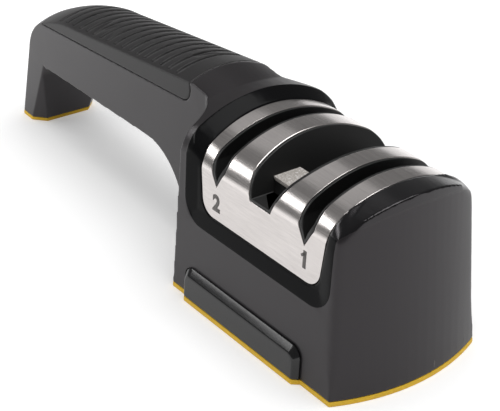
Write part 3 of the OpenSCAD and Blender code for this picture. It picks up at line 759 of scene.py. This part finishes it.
@dataclass
class SteelTop:
    """The bent steel cover and the two stage numbers."""

    steel_bevel: float = 0.26 * MM
    number_height: float = 4.8 * MM
    number_weight: float = 0.05
    number_depth: float = 0.05 * MM
    number_rise: float = 0.2
    number_steps: int = 6
    number_standoff: float = 4 * MM
    flag_angle: float = -40
    flag_size: Tuple[float, float] = (1.9 * MM, 0.85 * MM)
    flag_place: Tuple[float, float] = (-0.75 * MM, 1.6 * MM)
    number_places: Dict[str, Tuple[float, float]] = field(default_factory=lambda: {
        "2": (0.4 * MM, 37.6 * MM), "1": (0.7 * MM, 38.6 * MM)})

    def build(self) -> None:
        """Makes the cover and the numbers."""
        steel = bevelled_copy("steel_cover", "steel_top", self.steel_bevel)
        place(steel, Body.FIXED, "steel", COVER_STEEL, "steel_cover")
        for digit, slot in (("1", "coarse"), ("2", "fine")):
            low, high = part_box(f"{slot}_frame")
            self.number(digit, (low[0] + high[0]) / 2, steel)

    def flag(self, obj: bpy.types.Object) -> None:
        """Adds the slanting stroke at the head of the number 1."""
        deselect_all()
        bpy.ops.mesh.primitive_plane_add(size=1.0, location=(0, 0, 0))
        stroke = bpy.context.object
        with edit_mode(stroke):
            bpy.ops.mesh.select_all(action="SELECT")
            bpy.ops.transform.resize(value=(*self.flag_size, 1))
            bpy.ops.transform.rotate(value=math.radians(self.flag_angle), orient_axis="Z",
                                     center_override=(0, 0, 0))
            bpy.ops.transform.translate(value=(*self.flag_place, 0))
        join(obj, stroke)

    def number(self, digit: str, slot_x: float, steel: bpy.types.Object) -> None:
        """Etches a stage's number on the near side of the steel.

        Args:
            digit: The number to set.
            slot_x: Where its slot's middle is along the block.
            steel: The finished steel that the number lies on.
        """
        off, height = self.number_places[digit]
        deselect_all()
        bpy.ops.object.text_add(location=(0, 0, 0))
        obj = bpy.context.object
        obj.name = f"number_{digit}"
        text = obj.data
        text.body = digit
        text.align_x = "CENTER"
        text.align_y = "CENTER"
        text.size = self.number_height / NUMBER_CAP
        text.offset = self.number_weight * text.size
        text.resolution_u = self.number_steps
        activate(obj)
        bpy.ops.object.convert(target="MESH")
        obj = bpy.context.object
        if digit == "1":
            self.flag(obj)
        obj.rotation_euler = (math.radians(90), 0, 0)
        obj.location = (slot_x + off, steel.bound_box[0][1] - self.number_standoff, height)
        bpy.ops.object.transform_apply(location=True, rotation=True, scale=True)
        apply_modifier(obj, "SHRINKWRAP", target=steel, wrap_method="PROJECT", use_project_y=True,
                       use_positive_direction=True, use_negative_direction=False, offset=0.0)
        apply_modifier(obj, "SOLIDIFY", thickness=self.number_depth, offset=self.number_rise)
        place(obj, Body.FIXED, "steel", NUMBER_ETCH)


@dataclass
class SlotInsert:
    """The black lining of the slots and the grit pad in the middle."""

    bevel: float = 0.2 * MM

    def build(self) -> None:
        """Makes the lining, the pedestal and the grit plate."""
        lining = bevelled_copy("guide_insert", "slot_lining", self.bevel)
        place(lining, Body.FIXED, "insert", INSERT_BLACK, "guide_insert")
        pedestal = bevelled_copy("pad_holder", "pad_pedestal", self.bevel)
        place(pedestal, Body.FIXED, "insert", INSERT_BLACK, "pad_holder")
        plate = bevelled_copy("grit_plate", "grit_block", self.bevel)
        place(plate, Body.FIXED, "grit", PAD_GRIT, "grit_plate")


@dataclass
class Base:
    """The plaques, the yellow pads and the plate underneath."""

    plaque_bevel: float = 0.5 * MM
    pad_bevel: float = 0.25 * MM

    def build(self) -> None:
        """Makes the plaques and pads."""
        for side in ("right", "left"):
            plaque = bevelled_copy(f"side_plaque_{side}", f"plaque_{side}", self.plaque_bevel, 3)
            place(plaque, Body.FIXED, "trim", PLAQUE_GLOSS, f"side_plaque_{side}")
        for node in ("base_pad", "foot_pad"):
            pad = bevelled_copy(node, f"{node}_soft", self.pad_bevel)
            place(pad, Body.FIXED, "pad", BASE_YELLOW, node)
        dress_node("bottom_plate", BRACKET_PLASTIC)
        dress_node("base_screws", PIN_METAL)
        dress_node("frame_screws", PIN_METAL)


@dataclass
class Stage:
    """One sharpening stage: bracket, two sprung arms and their abrasives."""

    name: str
    abrasive: str
    abrasive_finish: Finish
    spring_keep: float = 0.77

    def spring(self, side: Side) -> None:
        """Makes a smooth-shaded copy of a spring with a mesh of its own; the real spring shortens
        along the block when its arm rocks outwards.
        """
        node = f"{self.name}_spring_{side.value}"
        coil = merged_copy(node, f"{self.name}_coil_{side.value}")
        activate(coil)
        bpy.ops.object.shade_smooth_by_angle(angle=SMOOTH_ANGLE)
        place(coil, Body.FIXED, "hardware", PIN_METAL, node)
        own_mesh(coil)

    def build(self) -> None:
        """Dresses the stage's nodes and makes its springs."""
        dress_node(f"{self.name}_frame", BRACKET_PLASTIC)
        dress_node(f"{self.name}_pins", PIN_METAL)
        for side in Side:
            dress_node(f"{self.name}_arm_{side.value}", ARM_PLASTIC)
            dress_node(f"{self.name}_{self.abrasive}_{side.value}", self.abrasive_finish)
            self.spring(side)


@dataclass(frozen=True)
class Panel:
    """A lamp or a pale board that faces the sharpener.

    Bearings are in degrees, given as the camera's are, and lengths in metres. The strength is a
    lamp's power in watts, or how bright a board looks.
    """

    name: str
    azimuth: float
    elevation: float
    distance: float
    size: Tuple[float, float]
    strength: float


@dataclass
class Studio:
    """Camera, floor, lamps and background."""

    target: Vector = field(default_factory=lambda: Vector((36.927, -2.81, 24.06)) * MM)
    azimuth: float = 55.106
    elevation: float = 29.861
    roll: float = -0.06
    distance: float = 401.4 * MM
    focal_pixels: float = 1284.587
    centre_off: Tuple[float, float] = (6.228, -2.425)
    nearest: float = 10 * MM
    floor_half: float = 3.0
    # painted shade: the floor glows less near the sharpener than far off
    glow_with_painted_shade: Tuple[float, float] = (0.31, 0.7)
    painted_shade_reach: Tuple[float, float] = (0.09, 0.28)
    # painted shade: far off, the floor seen in reflections darkens
    painted_dusk_reach: Tuple[float, float] = (0.9, 1.5)
    painted_dusk_offset: float = 0.6
    paper: Colour = (0.8, 0.8, 0.8)
    ambient: float = 0.3
    room: float = 0.21
    backdrop: Panel = Panel("backdrop", azimuth=-125, elevation=5.3, distance=1.3,
                            size=(1.8, 0.24), strength=1.0)
    side_board: Panel = Panel("side_board", azimuth=-106, elevation=47, distance=1.2,
                              size=(0.5, 0.42), strength=0.5)
    left_box: Panel = Panel("left_box", azimuth=-50, elevation=26, distance=0.7,
                            size=(0.52, 0.13), strength=1.1)
    top_box: Panel = Panel("top_box", azimuth=118, elevation=77, distance=0.8,
                           size=(0.62, 0.62), strength=5.0)

    def direction(self, azimuth: float, elevation: float) -> Vector:
        """Unit vector towards a place seen from the target."""
        a, e = math.radians(azimuth), math.radians(elevation)
        return Vector((math.cos(e) * math.sin(a), -math.cos(e) * math.cos(a), math.sin(e)))

    def camera(self) -> None:
        """Sets the camera up at the photograph's viewing angle."""
        data = bpy.data.cameras.new("view")
        data.sensor_width = SENSOR_WIDTH
        data.lens = SENSOR_WIDTH * self.focal_pixels / PHOTO_WIDTH
        data.shift_x = -self.centre_off[0] / PHOTO_WIDTH
        data.shift_y = self.centre_off[1] / PHOTO_WIDTH
        data.clip_start = self.nearest
        obj = bpy.data.objects.new("view", data)
        bpy.context.scene.collection.objects.link(obj)
        obj.location = self.target + self.direction(self.azimuth, self.elevation) * self.distance
        obj.rotation_euler = (math.radians(90 - self.elevation), math.radians(self.roll),
                              math.radians(self.azimuth))
        bpy.context.scene.camera = obj

    def lamp(self, panel: Panel) -> None:
        """Hangs a soft rectangular lamp that faces the sharpener."""
        data = bpy.data.lights.new(panel.name, "AREA")
        data.shape = "RECTANGLE"
        data.size, data.size_y = panel.size
        data.energy = panel.strength
        obj = bpy.data.objects.new(panel.name, data)
        bpy.context.scene.collection.objects.link(obj)
        away = self.direction(panel.azimuth, panel.elevation)
        obj.location = self.target + away * panel.distance
        obj.rotation_euler = away.to_track_quat("Z", "Y").to_euler()

    def rays(self, graph: Graph) -> Dict[str, Val]:
        """Tells the kinds of rays apart, each 1 or 0, by name."""
        path = graph.add("ShaderNodeLightPath").outputs
        kinds = ("Camera", "Glossy", "Transmission")
        return {kind: Val(graph, path[f"Is {kind} Ray"]) for kind in kinds}

    def fade(self, graph: Graph, middle: Vector, reach: Tuple[float, float]) -> Val:
        """Grows from 0 to 1 between two distances from a place on the floor."""
        off = graph.add("ShaderNodeVectorMath", {"operation": "DISTANCE"}, {
            0: graph.places(), 1: middle})
        node = graph.add("ShaderNodeMapRange", {"interpolation_type": "SMOOTHSTEP"}, {
            "Value": off.outputs["Value"], "From Min": reach[0], "From Max": reach[1]})
        return Val(graph, node.outputs[0])

    def floor(self) -> None:
        """Lays a white floor that keeps the sharpener's shadow, with painted shade: it glows less
        near the sharpener, and far off it darkens in reflections.
        """
        deselect_all()
        bpy.ops.mesh.primitive_plane_add(size=2 * self.floor_half, location=(0, 0, 0))
        obj = bpy.context.object
        obj.name = "floor"
        made = bpy.data.materials.new("white_floor")
        made.use_nodes = True
        graph = Graph(made.node_tree)
        rays = self.rays(graph)
        near, far = self.glow_with_painted_shade
        paper = graph.add("ShaderNodeBsdfDiffuse", None, {"Color": self.paper})
        # painted shade: less glow near the sharpener, more further out
        away = self.fade(graph, Vector(), self.painted_shade_reach)
        glow = graph.add("ShaderNodeEmission", None, {
            "Color": graph.blend(away, (near,) * 3, (far,) * 3)})
        lit = graph.add("ShaderNodeAddShader", None, {0: paper.outputs[0], 1: glow.outputs[0]})
        # painted shade: the far floor, seen in reflections, darkens to this low glow
        painted_dusk = graph.add("ShaderNodeEmission", None, {"Color": WHITE, "Strength": self.room})
        middle = self.direction(self.backdrop.azimuth, 0) * self.painted_dusk_offset
        painted_dusk_share = self.fade(graph, middle, self.painted_dusk_reach)
        shown = rays["Camera"].at_least(rays["Glossy"]).at_least(rays["Transmission"])
        seen = graph.add("ShaderNodeMixShader", None, {
            0: shown, 1: paper.outputs[0], 2: lit.outputs[0]})
        mirrored = graph.add("ShaderNodeMixShader", None, {
            0: rays["Glossy"] * painted_dusk_share, 1: seen.outputs[0], 2: painted_dusk.outputs[0]})
        graph.add("ShaderNodeOutputMaterial", None, {"Surface": mirrored.outputs[0]})
        obj.data.materials.append(made)

    def board(self, panel: Panel) -> None:
        """Stands a pale board away from the sharpener, for its reflections."""
        away = self.direction(panel.azimuth, panel.elevation)
        deselect_all()
        bpy.ops.mesh.primitive_plane_add(size=1.0, location=(0, 0, 0))
        obj = bpy.context.object
        obj.name = panel.name
        obj.scale = (*panel.size, 1)
        obj.rotation_euler = away.to_track_quat("Z", "Y").to_euler()
        obj.location = away * panel.distance
        made = bpy.data.materials.new(f"{panel.name}_white")
        made.use_nodes = True
        graph = Graph(made.node_tree)
        glow = graph.add("ShaderNodeEmission", None, {"Color": WHITE, "Strength": panel.strength})
        graph.add("ShaderNodeOutputMaterial", None, {"Surface": glow.outputs[0]})
        obj.data.materials.append(made)

    def world(self) -> None:
        """Sets a white background over an even soft light."""
        world = bpy.data.worlds.new("studio")
        bpy.context.scene.world = world
        world.use_nodes = True
        graph = Graph(world.node_tree)
        rays = self.rays(graph)
        soft = graph.add("ShaderNodeBackground", None, {"Color": WHITE, "Strength": self.ambient})
        room = graph.add("ShaderNodeBackground", None, {"Color": WHITE, "Strength": self.room})
        white = graph.add("ShaderNodeBackground", None, {"Color": WHITE, "Strength": 1.0})
        mirrored = graph.add("ShaderNodeMixShader", None, {
            0: rays["Glossy"], 1: soft.outputs[0], 2: room.outputs[0]})
        shown = rays["Camera"].at_least(rays["Transmission"])
        mixed = graph.add("ShaderNodeMixShader", None, {
            0: shown, 1: mirrored.outputs[0], 2: white.outputs[0]})
        graph.add("ShaderNodeOutputWorld", None, {"Surface": mixed.outputs[0]})

    def build(self) -> None:
        """Makes the whole studio."""
        bpy.context.scene.view_settings.view_transform = "Standard"
        self.camera()
        self.floor()
        self.board(self.backdrop)
        self.board(self.side_board)
        self.world()
        self.lamp(self.left_box)
        self.lamp(self.top_box)


def main() -> None:
    """Builds the sub-assemblies in order."""
    logging.basicConfig(level=logging.INFO, format="%(name)s %(message)s")
    parts = [
        Studio(),
        Housing(),
        Grip(),
        SteelTop(),
        SlotInsert(),
        Base(),
        Stage("coarse", "plate", COARSE_GRIT),
        Stage("fine", "rod", ROD_CERAMIC),
    ]
    for part in parts:
        part.build()


if __name__ == "__main__":
    main()
